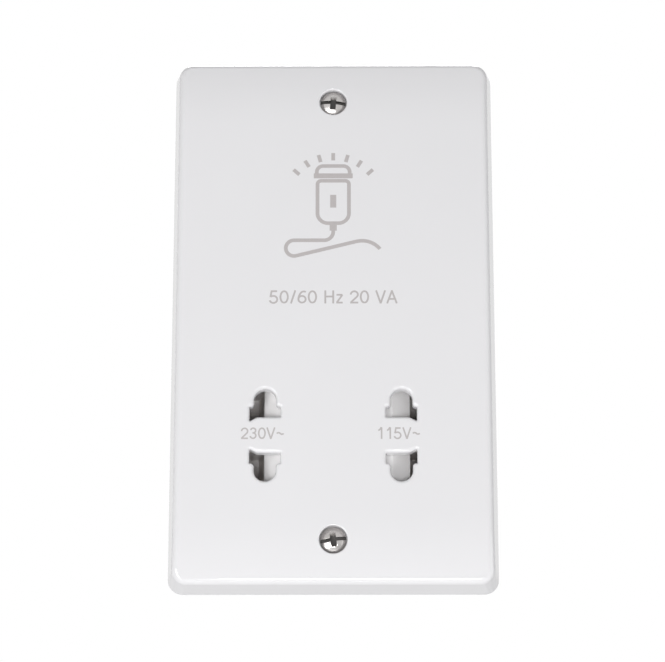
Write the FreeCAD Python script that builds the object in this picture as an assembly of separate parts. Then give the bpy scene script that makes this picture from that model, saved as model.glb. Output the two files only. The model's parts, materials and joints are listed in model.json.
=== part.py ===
"""Dual-voltage shaver socket: an upright two-gang wall plate with its isolating transformer behind it.

Millimetres. X runs right as seen from the room, Z runs up and the plate faces -Y.
The origin is the middle of the plate's rim, in the plane of the wall; +Y goes into the wall box.
"""
import FreeCAD, Part
import math
import os
from FreeCAD import Vector

# Wall plate
plate_width = 86.0
plate_height = 146.0
plate_depth = 9.5
plate_wall = 3.0
plate_rim_wall = 2.6
plate_corner_radius = 4.0
plate_side_slope = 10.0
plate_edge_radius = 1.7
end_roll_length = 18.0
end_roll_drop = 1.8

# Fixing screws
fixing_end_distance = 12.7
fixing_thread_radius = 1.75
fixing_neck_radius = 1.5
fixing_hole_radius = 2.1
fixing_length = 25.0
fixing_head_radius = 3.4
fixing_head_edge = 0.9
fixing_head_dome = 1.2
fixing_recess_radius = 3.65
fixing_recess_depth = 2.4
fixing_recess_round = 0.35
fixing_boss_radius = 5.0
fixing_boss_setback = 0.5
fixing_rib = 1.5
fixing_point = 1.0
fixing_slot_width = 1.1
fixing_slot_depth = 1.1
fixing_cross_length = 5.6
fixing_cross_width = 1.5
fixing_turns = (-4.0, 8.0)

# Pin openings, measured from the middle of their outlet
outlet_spacing = 35.6
pin_slot_half = 2.9
pin_slot_end = 12.4
pin_wide_start = 4.8
pin_wide_end = 7.6
pin_slant_drop = 1.1
pin_slant_length = 2.0
pin_slant_round = 1.5
pin_corner_round = 0.25
lead_in_radius = 0.85
lead_in_margin = 0.025

# Interlock slider, which rests a little to the right of the middle of its run
interlock_space = 4.6
interlock_travel = 9.2
interlock_rest = 1.0
ramp_low = 1.3
ramp_high = 3.3
flag_edge = 0.6
flag_inner = 3.2
slider_bar = 1.8

# Contact carrier and its cover
carrier_reach = 16.2
carrier_floor_gap = 1.3
carrier_wall = 1.4
deck_thickness = 1.5
chamber_half = 4.4
chamber_height = 11.0
chamber_depth = 12.5
chamber_top = 14.6
chamber_pitch = 16.5
cover_thickness = 1.6
cover_margin = 1.0
carrier_screw_spacing = 10.0
carrier_tube_radius = 3.0
plate_post_radius = 2.8

# Contacts
contact_thickness = 0.6
contact_height = 8.0
contact_centre = 10.0
contact_nose_radius = 2.4
contact_splay = 8.0
contact_leaf = 8.0
contact_setback = 0.8
contact_tag_height = 4.0
contact_tag_length = 3.4
link_thickness = 0.8

# Rear housing
housing_boss_gap = 3.3
housing_wall = 2.0
housing_corner_radius = 4.0
housing_rear_round = 1.5
ear_wall_gap = 1.7
ear_head_room = 0.8
ear_inset = 18.0
ear_radius = 3.4
ear_thickness = 2.2
ear_level = 2.2
vent_width = 2.0
vent_height = 20.0
vent_pitch = 5.0
vent_count = 7

# Terminals
bay_height = 14.0
bay_depth = 14.0
bay_wall = 2.0
terminal_width = 8.0
terminal_height = 9.0
terminal_depth = 10.0
terminal_round = 0.6
terminal_bore_radius = 1.9
terminal_bore_level = 4.0
terminal_screw_radius = 1.5
terminal_head_radius = 2.6
terminal_head_height = 2.0
terminal_slot_width = 0.8
terminal_slot_depth = 1.0
terminal_screw_out = 0.8
terminal_tag_width = 4.0
terminal_tag_thickness = 0.8
terminal_tag_length = 5.0

# Transformer
lamination_width = 48.0
core_stack = 20.0
core_top_gap = 4.0
core_hole_radius = 1.75
core_post_radius = 3.0
core_peg_length = 6.0
bobbin_wall = 1.0
flange_thickness = 1.2
flange_gap = 0.4
winding_gap = 0.8
winding_round = 3.0
tape_thickness = 0.3
rail_depth = 3.4
pin_radius = 0.5
pin_length = 4.0
cradle_reach = 6.0
cradle_wall = 3.0
cradle_lip = 11.0
cutout_width = 18.0
cutout_height = 7.6
cutout_thickness = 3.4
cutout_round = 1.2
cutout_gap = 2.0
cutout_tag_width = 2.0
cutout_tag_thickness = 0.6
cutout_tag_spacing = 12.0
cutout_tag_length = 4.0

# Self-tapping screws
tapper_radius = 1.1
tapper_head_radius = 2.5
tapper_head_height = 1.8
housing_tapper_length = 5.6
carrier_tapper_length = 19.0
pilot_floor = 1.5

# Leads
lead_radius = 0.8
lead_bend = 4.0
lead_bend_share = 0.45
lead_spread = 4.0

# Clearances, and how far cutters and joined pieces run past a face
running_gap = 0.3
seat_gap = 0.2
thread_gap = 0.1
overlap = 0.5
overshoot = 1.0
tiny = 1e-3

# Positions that follow from the sizes
slope = math.tan(math.radians(plate_side_slope))
face_y = -plate_depth
inner_y = face_y + plate_wall
roll_start = plate_height / 2 - end_roll_length
roll_radius = (end_roll_length ** 2 + end_roll_drop ** 2) / (2 * end_roll_drop)
fixing_z = plate_height / 2 - fixing_end_distance
ear_x = plate_width / 2 - plate_rim_wall - ear_wall_gap - ear_radius
ear_y = inner_y + ear_level
ear_back = ear_y + ear_thickness
housing_half_x = ear_x - tapper_head_radius - ear_head_room
housing_half_z = fixing_z - fixing_boss_radius - housing_boss_gap
inner_half_x = housing_half_x - housing_wall
inner_half_z = housing_half_z - housing_wall
ear_z = housing_half_z - ear_inset
outlet_xs = (-outlet_spacing / 2, outlet_spacing / 2)
outlet_height = -inner_half_z + carrier_floor_gap + carrier_reach
pin_step_round = lead_in_radius + lead_in_margin
pin_wide_half = pin_slot_half + pin_step_round + pin_corner_round + lead_in_margin
deck_y = inner_y + interlock_space
chamber_back = deck_y + chamber_depth
cover_back = chamber_back + cover_thickness
chambers_half = outlet_spacing / 2 + chamber_half + carrier_wall
slider_end = outlet_spacing / 2 + ramp_low
slider_reach = slider_end + interlock_travel / 2
carrier_half = slider_reach + running_gap + carrier_wall
carrier_screw_xs = (-carrier_screw_spacing / 2, carrier_screw_spacing / 2)
flag_outer = carrier_reach - carrier_wall - running_gap
ramp_top = outlet_spacing / 2 - ramp_high
land_end = outlet_spacing / 2 - pin_wide_half - interlock_travel / 2 - seat_gap
slider_window = (carrier_screw_spacing + interlock_travel) / 2 + plate_post_radius + running_gap
contact_root = chamber_half - contact_thickness / 2
tag_y = cover_back + contact_tag_length
leg = lamination_width / 6
core_half_x = lamination_width / 2
core_top = inner_half_z - core_top_gap
core_bottom = core_top - 5 * leg
window_bottom = core_bottom + leg
window_top = core_top - leg
core_hole_x = core_half_x - leg / 2
core_hole_zs = (core_bottom + leg / 2, core_top - leg / 2)
tube_half_x = leg + seat_gap + bobbin_wall
tube_half_y = core_stack / 2 + seat_gap + bobbin_wall
flange_half_x = 2 * leg - flange_gap
flange_half_y = core_stack / 2 + leg - flange_gap
winding_half_x = flange_half_x - winding_gap
winding_half_y = flange_half_y - winding_gap
cutout_front = inner_y + cutout_gap
cutout_back = cutout_front + cutout_thickness
cutout_y = (cutout_back + cutout_front) / 2
core_mid_y = cutout_back + tape_thickness + winding_half_y
core_front = core_mid_y - core_stack / 2
core_rear = core_mid_y + core_stack / 2
housing_inner_y = core_mid_y + flange_half_y + 2 * seat_gap
housing_rear = housing_inner_y + housing_wall
bobbin_bottom = window_bottom + seat_gap
bobbin_top = window_top - seat_gap
section_height = (bobbin_top - bobbin_bottom - 3 * flange_thickness) / 2
secondary_bottom = bobbin_bottom + flange_thickness
primary_bottom = secondary_bottom + section_height + flange_thickness
rail_bottom = window_bottom - rail_depth
pin_y = (core_rear + core_mid_y + flange_half_y) / 2
pin_tip = rail_bottom - pin_length
pin_xs = [leg * step for step in (-1.5, -0.9, -0.3, 0.6, 1.4)]
cutout_bottom = primary_bottom + (section_height - cutout_height) / 2
cutout_tag_tip = cutout_bottom - cutout_tag_length
shelf_y = housing_rear - bay_depth
shelf_inner_y = shelf_y - housing_wall
bay_top = -housing_half_z + bay_height
terminal_z = -housing_half_z + bay_height / 2
terminal_pitch = (2 * (housing_half_x - housing_corner_radius) - bay_wall) / 3
terminal_xs = (-terminal_pitch, 0.0, terminal_pitch)
terminal_tag_end = shelf_y - terminal_tag_length


def box(x0, x1, y0, y1, z0, z1):
    """Upright block between two corners."""
    return Part.makeBox(x1 - x0, y1 - y0, z1 - z0, Vector(x0, y0, z0))


def rod(radius, y0, y1, x, z):
    """Round bar along Y."""
    return Part.makeCylinder(radius, y1 - y0, Vector(x, y0, z), Vector(0, 1, 0))


def post(radius, z0, z1, x, y):
    """Round bar along Z."""
    return Part.makeCylinder(radius, z1 - z0, Vector(x, y, z0), Vector(0, 0, 1))


def joined(shapes):
    """One solid out of several that touch or overlap."""
    return shapes[0].multiFuse(shapes[1:]).removeSplitter()


def plan_prism(points, z0, z1):
    """Polygon of (x, y) corners run up along Z."""
    wire = Part.makePolygon([Vector(x, y, z0) for x, y in points + points[:1]])
    return Part.Face(wire).extrude(Vector(0, 0, z1 - z0))


def rounded_along(shape, axis, radius):
    """Rounds the straight edges that run along one axis."""
    direction = Vector(*[1.0 if name == axis else 0.0 for name in "xyz"])
    edges = [e for e in shape.Edges if abs(e.tangentAt(e.FirstParameter).dot(direction)) > 1 - tiny]
    return shape.makeFillet(radius, edges)


def edge_middle(edge):
    """Point half-way along an edge."""
    return edge.valueAt((edge.FirstParameter + edge.LastParameter) / 2)


def corner_wire(corners, y):
    """Closed wire through (x, z, radius) corners, each rounded by its radius."""
    count = len(corners)
    rounds = []
    for i, (x, z, radius) in enumerate(corners):
        tip = Vector(x, y, z)
        before = Vector(corners[i - 1][0], y, corners[i - 1][1])
        after = Vector(corners[(i + 1) % count][0], y, corners[(i + 1) % count][1])
        back = (before - tip).normalize()
        ahead = (after - tip).normalize()
        half = back.getAngle(ahead) / 2
        centre = tip + (back + ahead).normalize() * (radius / math.sin(half))
        middle = centre + (tip - centre).normalize() * radius
        reach = radius / math.tan(half)
        rounds.append((tip + back * reach, middle, tip + ahead * reach))
    edges = []
    for i, (start, middle, end) in enumerate(rounds):
        edges.append(Part.Arc(start, middle, end).toShape())
        following = rounds[(i + 1) % count][0]
        if (following - end).Length > tiny:
            edges.append(Part.LineSegment(end, following).toShape())
    return Part.Wire(Part.__sortEdges__(edges))


def front_level(z, inset=0.0):
    """Y of the plate's front at a height, or of the surface that lies inset behind it."""
    past = max(abs(z) - roll_start, 0.0)
    return face_y + roll_radius - math.sqrt((roll_radius - inset) ** 2 - past ** 2)


def behind_front(inset):
    """All that lies behind the plate's front, or behind the surface inset from it."""
    reach = plate_height / 2 + overshoot
    half_way = (roll_start + reach) / 2
    heights = (-reach, -half_way, -roll_start, roll_start, half_way, reach)
    low, low_mid, flat_low, flat_high, high_mid, high = [
        Vector(-plate_width, front_level(z, inset), z) for z in heights]
    back_low = Vector(-plate_width, overshoot, -reach)
    back_high = Vector(-plate_width, overshoot, reach)
    edges = [
        Part.LineSegment(back_low, low).toShape(),
        Part.Arc(low, low_mid, flat_low).toShape(),
        Part.LineSegment(flat_low, flat_high).toShape(),
        Part.Arc(flat_high, high_mid, high).toShape(),
        Part.LineSegment(high, back_high).toShape(),
        Part.LineSegment(back_high, back_low).toShape(),
    ]
    return Part.Face(Part.Wire(edges)).extrude(Vector(2 * plate_width, 0, 0))


def sloped_block(inset, back_y):
    """Block with the plate's sloping sides, its outline at the wall inset from the plate's."""
    half_x = plate_width / 2 - inset
    half_z = plate_height / 2 - inset
    front_x = half_x - slope * plate_depth
    front_z = half_z - slope * plate_depth
    back_x = half_x + slope * back_y
    back_z = half_z + slope * back_y
    block = Part.makeWedge(-front_x, face_y, -front_z, -back_z, -back_x,
                           front_x, back_y, front_z, back_z, back_x)
    corners = [e for e in block.Edges if e.BoundBox.YLength > plate_depth / 2]
    return block.makeFillet(plate_corner_radius - inset / 2, corners)


def plate_shell():
    """Outer skin of the plate: sloping sides, rolled ends, rounded front edge, hollow back."""
    body = sloped_block(0, 0).common(behind_front(0))
    rim = []
    for edge in body.Edges:
        middle = edge_middle(edge)
        on_front = abs(middle.y - front_level(middle.z)) < tiny
        across = abs(middle.x) < tiny and abs(abs(middle.z) - roll_start) < tiny
        if on_front and not across:
            rim.append(edge)
    body = body.makeFillet(plate_edge_radius, rim)
    return body.cut(sloped_block(plate_rim_wall, overshoot).common(behind_front(plate_wall)))


def pin_opening(outlet_x, side, up):
    """Cutter for one pin opening; the slanted corner lies on the given side, the round end up or down."""
    start = pin_wide_start
    corners = [
        (-pin_wide_half, start, pin_corner_round),
        (-pin_wide_half, pin_wide_end, pin_corner_round),
        (-pin_slot_half, pin_wide_end, pin_step_round),
        (-pin_slot_half, pin_slot_end, pin_slot_half),
        (pin_slot_half, pin_slot_end, pin_slot_half),
        (pin_slot_half, pin_wide_end, pin_step_round),
        (pin_wide_half, pin_wide_end, pin_corner_round),
        (pin_wide_half, start - pin_slant_drop, pin_corner_round),
        (pin_wide_half - pin_slant_length, start, pin_slant_round),
    ]
    placed = [(outlet_x + side * u, outlet_height + up * v, radius) for u, v, radius in corners]
    outline = Part.Face(corner_wire(placed, face_y - overshoot))
    return outline.extrude(Vector(0, plate_wall + 2 * overshoot, 0))


def edges_round(shape, x, z, radius, low_y, high_y):
    """Edges of a shape that lie wholly in a short cylinder about an axis along Y."""
    found = []
    for edge in shape.Edges:
        bound = edge.BoundBox
        near_x = max(abs(bound.XMin - x), abs(bound.XMax - x)) < radius
        near_z = max(abs(bound.ZMin - z), abs(bound.ZMax - z)) < radius
        if near_x and near_z and bound.YMin > low_y and bound.YMax < high_y:
            found.append(edge)
    return found


def make_front_plate():
    """Front plate with openings, screw recesses, and the posts that carry the parts behind it."""
    solids = [plate_shell()]
    cuts = []
    front = front_level(fixing_z)
    seat = front + fixing_recess_depth
    room = sloped_block(plate_rim_wall / 2, 0).common(behind_front(plate_wall / 2))
    for side in (1, -1):
        z = side * fixing_z
        low, high = sorted((z, side * plate_height / 2))
        rib = box(-fixing_rib / 2, fixing_rib / 2, face_y, -fixing_boss_setback, low, high)
        solids.append(rib.common(room))
        solids.append(rod(fixing_boss_radius, front + plate_wall / 2, -fixing_boss_setback, 0, z))
        cuts.append(rod(fixing_recess_radius, front - overshoot, seat, 0, z))
        cuts.append(rod(fixing_hole_radius, seat - overlap, overshoot, 0, z))
    pilot_start = face_y + pilot_floor
    pilot_radius = tapper_radius + thread_gap
    for x in carrier_screw_xs:
        solids.append(rod(plate_post_radius, inner_y - overlap, deck_y, x, outlet_height))
        cuts.append(rod(pilot_radius, pilot_start, deck_y + overshoot, x, outlet_height))
    for x in (-ear_x, ear_x):
        for z in (-ear_z, ear_z):
            solids.append(rod(plate_post_radius, inner_y - overlap, ear_y, x, z))
            cuts.append(rod(pilot_radius, pilot_start, ear_y + overshoot, x, z))
    for x in (-core_hole_x, core_hole_x):
        for z in core_hole_zs:
            solids.append(rod(core_post_radius, inner_y - overlap, core_front, x, z))
    for side, x in zip((-1, 1), outlet_xs):
        for up in (1, -1):
            cuts.append(pin_opening(x, side, up))
    plate = joined(solids).cut(Part.makeCompound(cuts))
    lead_in = []
    reach = pin_slot_end + overlap
    for x in outlet_xs:
        lead_in += edges_round(plate, x, outlet_height, reach, face_y - overlap, face_y + overlap)
    plate = plate.makeFillet(lead_in_radius, lead_in)
    mouths = []
    for z in (fixing_z, -fixing_z):
        mouths += edges_round(plate, 0, z, fixing_recess_radius + overlap, front - overlap, front + overlap)
    return plate.makeFillet(fixing_recess_round, mouths)


def domed_screw(z, turn):
    """One fixing screw: domed head with a full slot and a wide cross, plain neck, threaded shank."""
    seat = front_level(z) + fixing_recess_depth
    edge = seat - fixing_head_edge
    dome_radius = (fixing_head_radius ** 2 + fixing_head_dome ** 2) / (2 * fixing_head_dome)
    ball = Part.makeSphere(dome_radius, Vector(0, edge - fixing_head_dome + dome_radius, z))
    head = rod(fixing_head_radius, edge - fixing_head_dome - overshoot, seat, 0, z)
    head = head.common(ball.fuse(rod(dome_radius, edge, seat, 0, z)))
    thread_start = -fixing_boss_setback + seat_gap
    tip = seat + fixing_length
    shank = [
        rod(fixing_neck_radius, seat - overlap, thread_start + overlap, 0, z),
        rod(fixing_thread_radius, thread_start, tip - fixing_point, 0, z),
        Part.makeCone(fixing_thread_radius, fixing_neck_radius / 2, fixing_point,
                      Vector(0, tip - fixing_point, z), Vector(0, 1, 0)),
    ]
    crown = edge - fixing_head_dome
    reach = fixing_head_radius + overshoot
    half = fixing_slot_width / 2
    arm = fixing_cross_length / 2
    arm_half = fixing_cross_width / 2
    slot = box(-reach, reach, crown - overshoot, crown + fixing_slot_depth, z - half, z + half)
    cross = box(-arm_half, arm_half, crown - overshoot, crown + fixing_slot_depth, z - arm, z + arm)
    screw = joined([head] + shank).cut(slot.fuse(cross))
    screw.rotate(Vector(0, 0, z), Vector(0, 1, 0), -turn)
    return screw


def make_fixing_screws():
    """The two screws that hold the plate to the wall box."""
    return Part.makeCompound([domed_screw(z, turn) for z, turn in zip((fixing_z, -fixing_z), fixing_turns)])


def tapper(x, z, seat, length):
    """Self-tapping screw driven towards the plate, its round head resting at seat."""
    head = rod(tapper_head_radius, seat, seat + tapper_head_height, x, z)
    crown = [e for e in head.Edges if e.BoundBox.YMin > seat + tapper_head_height / 2]
    head = head.makeFillet(tapper_head_height / 2, crown)
    return joined([head, rod(tapper_radius, seat - length, seat + overlap, x, z)])


def make_interlock_slider():
    """Slider with a flag behind each opening: a pin pushes its ramp aside, and the far outlet is closed."""
    front = inner_y + running_gap
    back = deck_y - running_gap
    thin = back - flag_edge
    bar = back - slider_bar
    right = [(land_end, bar), (land_end, front), (ramp_top, front), (slider_end, thin), (slider_end, back)]
    left = [(-x, y) for x, y in reversed(right)]
    solids = []
    for low, high in ((flag_inner, flag_outer), (-flag_outer, -flag_inner)):
        solids.append(plan_prism(left + right, outlet_height + low, outlet_height + high))
    low = outlet_height - flag_inner - overlap
    high = outlet_height + flag_inner + overlap
    for x0, x1 in ((-slider_end, -slider_window), (slider_window, slider_end)):
        solids.append(box(x0, x1, thin, back, low, high))
    return joined(solids).translated(Vector(interlock_rest, 0, 0))


def chamber_span(level):
    """Bottom and top of the upper (0) or lower (1) chamber."""
    top = outlet_height + chamber_top - level * chamber_pitch
    return top - chamber_height, top


def make_contact_carrier():
    """Moulding with four pin chambers behind, and in front the slider's run, whose ends stop it."""
    low = outlet_height - carrier_reach
    high = outlet_height + carrier_reach
    wall = carrier_wall
    skirt = box(-carrier_half, carrier_half, inner_y, deck_y + overlap, low, high)
    run = box(-carrier_half + wall, carrier_half - wall, inner_y - overshoot, deck_y, low + wall, high - wall)
    solids = [skirt.cut(run), box(-carrier_half, carrier_half, deck_y, deck_y + deck_thickness, low, high)]
    cuts = []
    for x in outlet_xs:
        for level in (0, 1):
            bottom, top = chamber_span(level)
            half = chamber_half + wall
            solids.append(box(x - half, x + half, deck_y, chamber_back, bottom - wall, top + wall))
            cuts.append(box(x - chamber_half, x + chamber_half, deck_y, chamber_back + overshoot,
                            bottom, top))
    for x in carrier_screw_xs:
        solids.append(rod(carrier_tube_radius, deck_y, chamber_back, x, outlet_height))
        hole = tapper_radius + seat_gap
        cuts.append(rod(hole, deck_y - overshoot, chamber_back + overshoot, x, outlet_height))
    return joined(solids).cut(Part.makeCompound(cuts))


def contact_tag(outlet_x, toward, level, gap=0.0):
    """Solder tag of one contact, grown by a gap for the slot it passes through."""
    middle_x = outlet_x + toward * contact_root
    middle_z = outlet_height + contact_centre - level * chamber_pitch
    half_x = contact_thickness / 2 + gap
    half_z = contact_tag_height / 2 + gap
    start = chamber_back - running_gap - overlap
    low = middle_z - half_z
    return box(middle_x - half_x, middle_x + half_x, start, tag_y + gap, low, low + 2 * half_z)


def make_contact(outlet_x, toward, level):
    """Spring contact: a leg along the chamber's side, a round nose in front, a leaf splayed over the pin."""
    half = contact_thickness / 2
    splay = math.radians(contact_splay)
    turn_y = deck_y + contact_setback + contact_nose_radius + half
    middle_z = outlet_height + contact_centre - level * chamber_pitch
    low = middle_z - contact_height / 2

    def place(u, y):
        return Vector(outlet_x + toward * u, y, low)

    def on_bend(radius, angle):
        centre = contact_root - contact_nose_radius
        return centre + radius * math.cos(angle), turn_y - radius * math.sin(angle)

    end_angle = math.pi - splay
    edges = []
    tips = []
    for radius in (contact_nose_radius + half, contact_nose_radius - half):
        start = on_bend(radius, 0)
        end = on_bend(radius, end_angle)
        tip = (end[0] - contact_leaf * math.sin(splay), end[1] + contact_leaf * math.cos(splay))
        rear = (start[0], chamber_back - running_gap)
        edges.append(Part.LineSegment(place(*rear), place(*start)).toShape())
        edges.append(Part.Arc(place(*start), place(*on_bend(radius, end_angle / 2)), place(*end)).toShape())
        edges.append(Part.LineSegment(place(*end), place(*tip)).toShape())
        tips.append((rear, tip))
    for outer, inner in zip(*tips):
        edges.append(Part.LineSegment(place(*outer), place(*inner)).toShape())
    outline = Part.Wire(Part.__sortEdges__(edges))
    strip = Part.Face(outline).extrude(Vector(0, 0, contact_height))
    return joined([strip, contact_tag(outlet_x, toward, level)])


def make_contact_cover():
    """Plate that closes the chambers from behind and lets the tags through."""
    half = chambers_half - cover_margin
    reach = carrier_reach - cover_margin
    cover = box(-half, half, chamber_back, cover_back, outlet_height - reach, outlet_height + reach)
    cuts = []
    for toward, x in zip((1, -1), outlet_xs):
        for level in (0, 1):
            cuts.append(contact_tag(x, toward, level, seat_gap))
    for x in carrier_screw_xs:
        hole = tapper_radius + seat_gap
        cuts.append(rod(hole, chamber_back - overshoot, cover_back + overshoot, x, outlet_height))
    return cover.cut(Part.makeCompound(cuts))


def make_common_link():
    """Strip on the cover that joins the tags of the two lower contacts."""
    half = outlet_spacing / 2 - contact_root - contact_thickness / 2
    middle_z = outlet_height + contact_centre - chamber_pitch
    low = middle_z - contact_tag_height / 2
    return box(-half, half, cover_back, cover_back + link_thickness, low, low + contact_tag_height)


def make_rear_housing():
    """Back box with ears, cradles for the core, vents, and three bays for the terminals."""
    outer = box(-housing_half_x, housing_half_x, inner_y, housing_rear, -housing_half_z, housing_half_z)
    outer = rounded_along(outer, "y", housing_corner_radius)
    rear_edges = [e for e in outer.Edges if e.BoundBox.YMin > housing_rear - tiny]
    outer = outer.makeFillet(housing_rear_round, rear_edges)
    wide = housing_half_x + overshoot
    floor = -housing_half_z - overshoot
    bay = box(-wide, wide, shelf_y, housing_rear + overshoot, floor, bay_top)
    room = box(-inner_half_x, inner_half_x, inner_y - overshoot, housing_inner_y, -inner_half_z, inner_half_z)
    room = rounded_along(room, "y", housing_corner_radius - housing_wall)
    shelf = box(-wide, wide, shelf_inner_y, housing_rear, floor, bay_top + housing_wall)
    solids = [outer.cut(bay).cut(room.cut(shelf))]
    cuts = []
    for step in (-1.5, -0.5, 0.5, 1.5):
        x = step * terminal_pitch
        solids.append(box(x - bay_wall / 2, x + bay_wall / 2, shelf_y - overlap, housing_rear,
                          -housing_half_z, bay_top + overlap))
    for x in terminal_xs:
        half = terminal_tag_width / 2 + running_gap
        thick = terminal_tag_thickness / 2 + running_gap
        cuts.append(box(x - half, x + half, shelf_inner_y - overshoot, shelf_y + overshoot,
                        terminal_z - thick, terminal_z + thick))
    for side in (-1, 1):
        for z in (-ear_z, ear_z):
            near = side * (housing_half_x - overlap)
            x0, x1 = sorted((near, side * ear_x))
            solids.append(box(x0, x1, ear_y, ear_back, z - ear_radius, z + ear_radius))
            solids.append(rod(ear_radius, ear_y, ear_back, side * ear_x, z))
            cuts.append(rod(tapper_radius + seat_gap, ear_y - overshoot, ear_back + overshoot,
                            side * ear_x, z))
    core_room = box(-core_half_x - seat_gap, core_half_x + seat_gap, inner_y, core_rear,
                    core_bottom - seat_gap, core_top + seat_gap)
    corner_spans = ((core_bottom - cradle_wall, core_bottom + cradle_reach),
                    (core_top - cradle_reach, inner_half_z + overlap))
    for side in (-1, 1):
        x0, x1 = sorted((side * (core_half_x - cradle_reach), side * (inner_half_x + overlap)))
        for (low, high), z in zip(corner_spans, core_hole_zs):
            cradle = box(x0, x1, core_rear - cradle_lip, housing_inner_y + overlap, low, high)
            solids.append(cradle.cut(core_room))
            solids.append(rod(core_hole_radius - seat_gap, core_rear - core_peg_length, core_rear + overlap,
                              side * core_hole_x, z))
    vent_middle = (core_bottom + core_top) / 2
    for i in range(vent_count):
        x = (i - (vent_count - 1) / 2) * vent_pitch
        cuts.append(box(x - vent_width / 2, x + vent_width / 2,
                        housing_inner_y - overlap, housing_rear + overshoot,
                        vent_middle - vent_height / 2, vent_middle + vent_height / 2))
    return joined(solids).cut(Part.makeCompound(cuts))


def make_terminal(x):
    """Brass pillar: a bore for the conductor from below, a hole for its screw behind, a tag to the inside."""
    half = terminal_width / 2
    low = terminal_z - terminal_height / 2
    high = terminal_z + terminal_height / 2
    back = shelf_y + terminal_depth
    bore_y = shelf_y + terminal_bore_level
    tag = box(x - terminal_tag_width / 2, x + terminal_tag_width / 2, terminal_tag_end, shelf_y + overlap,
              terminal_z - terminal_tag_thickness / 2, terminal_z + terminal_tag_thickness / 2)
    block = rounded_along(box(x - half, x + half, shelf_y, back, low, high), "z", terminal_round)
    bore = post(terminal_bore_radius, low - overshoot, high + overshoot, x, bore_y)
    screw_hole = rod(terminal_screw_radius + thread_gap, bore_y, back + overshoot, x, terminal_z)
    return joined([block, tag]).cut(bore).cut(screw_hole)


def make_terminal_screw(x):
    """Slotted clamp screw, its tip level with the side of the bore."""
    tip = shelf_y + terminal_bore_level + terminal_bore_radius + thread_gap
    seat = shelf_y + terminal_depth + terminal_screw_out
    back = seat + terminal_head_height
    head = rod(terminal_head_radius, seat, back, x, terminal_z)
    half = terminal_slot_width / 2
    reach = terminal_head_radius + overshoot
    bottom = back - terminal_slot_depth
    slot = box(x - reach, x + reach, bottom, back + overshoot, terminal_z - half, terminal_z + half)
    return joined([head, rod(terminal_screw_radius, tip, seat + overlap, x, terminal_z)]).cut(slot)


def core_holes(z):
    """Cutter for the pair of corner holes through the laminations at one height."""
    start = core_front - overshoot
    end = core_rear + overshoot
    return Part.makeCompound([rod(core_hole_radius, start, end, side * core_hole_x, z) for side in (-1, 1)])


def make_core_e_stack():
    """Stack of E laminations, legs upward."""
    stack = box(-core_half_x, core_half_x, core_front, core_rear, core_bottom, window_top)
    for side in (-1, 1):
        x0, x1 = sorted((side * leg, side * 2 * leg))
        stack = stack.cut(box(x0, x1, core_front - overshoot, core_rear + overshoot,
                              window_bottom, window_top + overshoot))
    return stack.cut(core_holes(core_hole_zs[0]))


def make_core_i_stack():
    """Stack of I laminations across the tops of the legs."""
    stack = box(-core_half_x, core_half_x, core_front, core_rear, window_top, core_top)
    return stack.cut(core_holes(core_hole_zs[1]))


def around_core(half_x, half_y, low, high):
    """Block centred on the core's middle leg."""
    return box(-half_x, half_x, core_mid_y - half_y, core_mid_y + half_y, low, high)


def make_bobbin():
    """Two-section bobbin with a rail for the pins under its lower flange."""
    solids = [around_core(tube_half_x, tube_half_y, bobbin_bottom, bobbin_top)]
    for low in (bobbin_bottom, primary_bottom - flange_thickness, bobbin_top - flange_thickness):
        solids.append(around_core(flange_half_x, flange_half_y, low, low + flange_thickness))
    solids.append(box(-flange_half_x, flange_half_x, core_rear + running_gap, core_mid_y + flange_half_y,
                      rail_bottom, bobbin_bottom + flange_thickness))
    cuts = [around_core(leg + seat_gap, core_stack / 2 + seat_gap,
                        bobbin_bottom - overshoot, bobbin_top + overshoot)]
    for x in pin_xs:
        cuts.append(post(pin_radius + thread_gap / 2, rail_bottom - overshoot, bobbin_bottom, x, pin_y))
    return joined(solids).cut(Part.makeCompound(cuts))


def make_bobbin_pins():
    """Round pins set into the rail."""
    return Part.makeCompound([post(pin_radius, pin_tip, bobbin_bottom, x, pin_y) for x in pin_xs])


def coil_block(growth, low):
    """Block the size of one coil, with round corners, grown all round."""
    block = around_core(winding_half_x + growth, winding_half_y + growth, low, low + section_height)
    return rounded_along(block, "z", winding_round + growth)


def make_winding(low):
    """Coil of wire filling one section of the bobbin."""
    high = low + section_height
    return coil_block(0, low).cut(around_core(tube_half_x, tube_half_y, low - overshoot, high + overshoot))


def make_winding_tape():
    """Band of tape round each coil."""
    bands = []
    for low in (secondary_bottom, primary_bottom):
        bands.append(coil_block(tape_thickness, low).cut(coil_block(0, low)))
    return Part.makeCompound(bands)


def make_thermal_cutout():
    """Flat cut-out resting on the taped primary, with two tags pointing down."""
    half = cutout_width / 2
    case = box(-half, half, cutout_front, cutout_back, cutout_bottom, cutout_bottom + cutout_height)
    case = rounded_along(case, "y", cutout_round)
    solids = [case]
    for side in (-1, 1):
        x = side * cutout_tag_spacing / 2
        solids.append(box(x - cutout_tag_width / 2, x + cutout_tag_width / 2,
                          cutout_y - cutout_tag_thickness / 2, cutout_y + cutout_tag_thickness / 2,
                          cutout_tag_tip, cutout_bottom + overlap))
    return joined(solids)


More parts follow.
